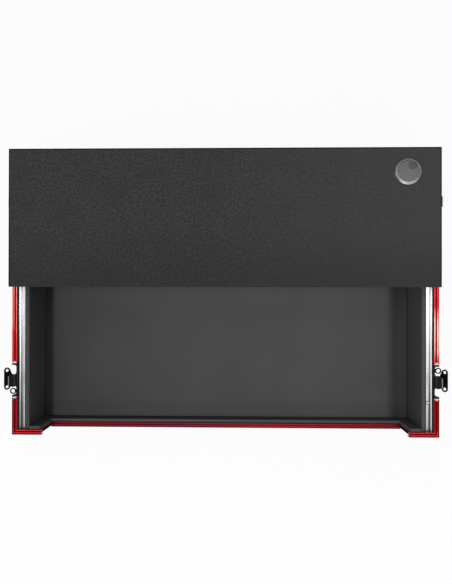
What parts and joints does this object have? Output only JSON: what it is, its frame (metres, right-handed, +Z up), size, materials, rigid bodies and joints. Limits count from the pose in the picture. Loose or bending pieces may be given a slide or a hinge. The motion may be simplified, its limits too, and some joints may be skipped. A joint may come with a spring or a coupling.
{
  "type": "dj controller flight case base",
  "caption": "Shallow flight case base for a DJ controller, with a laptop platform that glides on side rails, a lowered front and recessed butterfly latches.",
  "frame": {"origin": "on the standing surface, under the middle of the case", "axes": "+X to the case's right seen from its lowered front, +Y towards its back, +Z up"},
  "size_m": [0.8272, 0.5428, 0.1661],
  "materials": {
    "black_laminate": "black laminate on plywood",
    "red_trim": "red anodised, satin",
    "red_edge_angle": "red anodised, satin",
    "black_steel": "black powder coat",
    "black_latch_steel": "black coated steel, satin",
    "foot_rubber": "matte",
    "grey_foam": "dense closed-cell foam sheet",
    "bare_aluminium": "mill finish",
    "carpeted_board": "plywood covered with a thin black textile",
    "black_painted_wood": "painted black",
    "black_nylon": "smooth nylon",
    "grey_plastic": "satin moulded plastic"
  },
  "bodies": {
    "case": {"floor_panel": "black_laminate", "left_side_panel": "black_laminate", "right_side_panel": "black_laminate", "front_panel": "black_laminate", "back_panel": "black_laminate", "left_front_trim": "red_trim", "left_middle_trim": "red_trim", "right_front_trim": "red_trim", "right_middle_trim": "red_trim", "rear_trim": "red_trim", "cutout_trim": "red_trim", "left_bottom_angle": "red_edge_angle", "right_bottom_angle": "red_edge_angle", "front_bottom_angle": "red_edge_angle", "back_bottom_angle": "red_edge_angle", "front_left_corner_angle": "red_edge_angle", "front_right_corner_angle": "red_edge_angle", "back_left_corner_angle": "red_edge_angle", "back_right_corner_angle": "red_edge_angle", "front_left_ball_corner": "black_steel", "front_right_ball_corner": "black_steel", "back_left_ball_corner": "black_steel", "back_right_ball_corner": "black_steel", "front_left_foot": "foot_rubber", "front_right_foot": "foot_rubber", "back_left_foot": "foot_rubber", "back_right_foot": "foot_rubber", "floor_foam": "grey_foam", "left_foam": "grey_foam", "right_foam": "grey_foam", "front_foam": "grey_foam", "back_foam": "grey_foam", "left_rail": "bare_aluminium", "right_rail": "bare_aluminium", "left_rail_board": "black_painted_wood", "right_rail_board": "black_painted_wood", "front_left_latch_dish": "black_latch_steel", "rear_left_latch_dish": "black_latch_steel", "front_right_latch_dish": "black_latch_steel", "rear_right_latch_dish": "black_latch_steel"},
    "platform": {"platform_board": "carpeted_board", "left_platform_leg": "black_painted_wood", "right_platform_leg": "black_painted_wood", "left_platform_glide": "black_nylon", "right_platform_glide": "black_nylon", "grommet_liner": "grey_plastic"},
    "grommet_cap": {"grommet_cap": "grey_plastic"},
    "front_left_rotor": {"front_left_latch_rotor": "black_latch_steel"},
    "front_left_hook": {"front_left_latch_hook": "black_latch_steel"},
    "front_left_wing": {"front_left_latch_wing": "black_latch_steel"},
    "rear_left_rotor": {"rear_left_latch_rotor": "black_latch_steel"},
    "rear_left_hook": {"rear_left_latch_hook": "black_latch_steel"},
    "rear_left_wing": {"rear_left_latch_wing": "black_latch_steel"},
    "front_right_rotor": {"front_right_latch_rotor": "black_latch_steel"},
    "front_right_hook": {"front_right_latch_hook": "black_latch_steel"},
    "front_right_wing": {"front_right_latch_wing": "black_latch_steel"},
    "rear_right_rotor": {"rear_right_latch_rotor": "black_latch_steel"},
    "rear_right_hook": {"rear_right_latch_hook": "black_latch_steel"},
    "rear_right_wing": {"rear_right_latch_wing": "black_latch_steel"}
  },
  "joints": [
    {"name": "platform_glide", "type": "slide", "parent": "case", "child": "platform", "axis": [0, -1, 0], "range_m": [0, 0.268]},
    {"name": "grommet_cap_turn", "type": "hinge", "parent": "platform", "child": "grommet_cap", "pos_m": [0.323, 0.2115, 0.1646], "axis": [0, 0, 1], "continuous": true},
    {"name": "front_left_rotor_turn", "type": "hinge", "parent": "case", "child": "front_left_rotor", "pos_m": [-0.3935, -0.1634, 0.088], "axis": [-1, 0, 0], "range_deg": [0, 180]},
    {"name": "front_left_hook_draw", "type": "slide", "parent": "case", "child": "front_left_hook", "axis": [0, 0, -1], "range_m": [0, 0.008]},
    {"name": "front_left_wing_fold", "type": "hinge", "parent": "front_left_rotor", "child": "front_left_wing", "pos_m": [-0.3945, -0.1634, 0.088], "axis": [0, -1, 0], "range_deg": [-47, 133]},
    {"name": "rear_left_rotor_turn", "type": "hinge", "parent": "case", "child": "rear_left_rotor", "pos_m": [-0.3935, 0.1634, 0.088], "axis": [-1, 0, 0], "range_deg": [0, 180]},
    {"name": "rear_left_hook_draw", "type": "slide", "parent": "case", "child": "rear_left_hook", "axis": [0, 0, -1], "range_m": [0, 0.008]},
    {"name": "rear_left_wing_fold", "type": "hinge", "parent": "rear_left_rotor", "child": "rear_left_wing", "pos_m": [-0.3945, 0.1634, 0.088], "axis": [0, -1, 0], "range_deg": [-180, 0]},
    {"name": "front_right_rotor_turn", "type": "hinge", "parent": "case", "child": "front_right_rotor", "pos_m": [0.3935, -0.1634, 0.088], "axis": [1, 0, 0], "range_deg": [0, 180]},
    {"name": "front_right_hook_draw", "type": "slide", "parent": "case", "child": "front_right_hook", "axis": [0, 0, -1], "range_m": [0, 0.008]},
    {"name": "front_right_wing_fold", "type": "hinge", "parent": "front_right_rotor", "child": "front_right_wing", "pos_m": [0.3945, -0.1634, 0.088], "axis": [0, 1, 0], "range_deg": [-47, 133]},
    {"name": "rear_right_rotor_turn", "type": "hinge", "parent": "case", "child": "rear_right_rotor", "pos_m": [0.3935, 0.1634, 0.088], "axis": [1, 0, 0], "range_deg": [0, 180]},
    {"name": "rear_right_hook_draw", "type": "slide", "parent": "case", "child": "rear_right_hook", "axis": [0, 0, -1], "range_m": [0, 0.008]},
    {"name": "rear_right_wing_fold", "type": "hinge", "parent": "rear_right_rotor", "child": "rear_right_wing", "pos_m": [0.3945, 0.1634, 0.088], "axis": [0, 1, 0], "range_deg": [-180, 0]}
  ],
  "couplings": [
    {"joint": "front_left_hook_draw", "follows": "front_left_rotor_turn", "m_per_rad": 0.0025464},
    {"joint": "rear_left_hook_draw", "follows": "rear_left_rotor_turn", "m_per_rad": 0.0025464},
    {"joint": "front_right_hook_draw", "follows": "front_right_rotor_turn", "m_per_rad": 0.0025464},
    {"joint": "rear_right_hook_draw", "follows": "rear_right_rotor_turn", "m_per_rad": 0.0025464}
  ]
}
